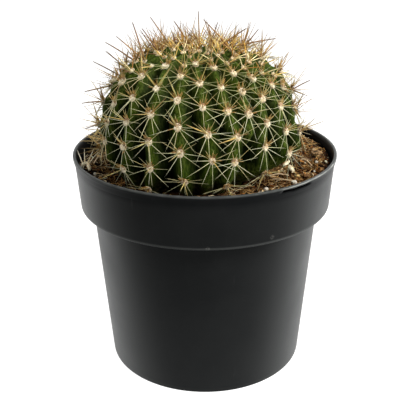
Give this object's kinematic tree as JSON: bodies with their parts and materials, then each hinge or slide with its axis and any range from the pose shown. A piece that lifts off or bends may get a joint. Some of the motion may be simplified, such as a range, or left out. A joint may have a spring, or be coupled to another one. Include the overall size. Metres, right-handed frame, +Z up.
{
  "type": "potted round cactus",
  "caption": "Round ribbed cactus with spine clusters, rooted in potting mix in a plain tapered plastic nursery pot with a deep rim band.",
  "frame": {"origin": "centre of the pot's foot, on the surface it stands on", "axes": "+Z up along the pot's axis; -Y is the front, the side the plant stands nearest to"},
  "size_m": [0.154, 0.154, 0.2117],
  "materials": {
    "pot_plastic": "black injection-moulded polypropylene with a soft sheen",
    "potting_mix": "damp to dry peat, coir and bark crumb with pale fibres",
    "cactus_skin": "waxy green skin, paler and greyer along the rib crests",
    "areole_wool": "short cream felt, tan on its upper side",
    "cactus_spine": "smooth straw-coloured horn, reddish brown and dark-tipped when young",
    "perlite": "matt white expanded mineral grain",
    "pale_wood": "split pale wood",
    "bark": "rough brown bark",
    "straw": "dry straw"
  },
  "bodies": {
    "root": {"nursery_pot": "pot_plastic", "potting_mix": "potting_mix", "cactus_stem": "cactus_skin", "cactus_spines": "cactus_spine", "fallen_spine_cluster": "cactus_spine", "perlite_grain_1": "perlite", "perlite_grain_2": "perlite", "perlite_grain_3": "perlite", "perlite_grain_4": "perlite", "perlite_grain_5": "perlite", "perlite_grain_6": "perlite", "perlite_grain_7": "perlite", "perlite_grain_8": "perlite", "wood_chip_1": "pale_wood", "wood_chip_2": "pale_wood", "bark_flake_1": "bark", "bark_flake_2": "bark", "bark_flake_3": "bark", "bark_flake_4": "bark", "bark_knot": "bark", "fallen_twig": "bark", "straw_1": "straw", "straw_2": "straw", "straw_3": "straw", "straw_4": "straw"}
  },
  "joints": []
}
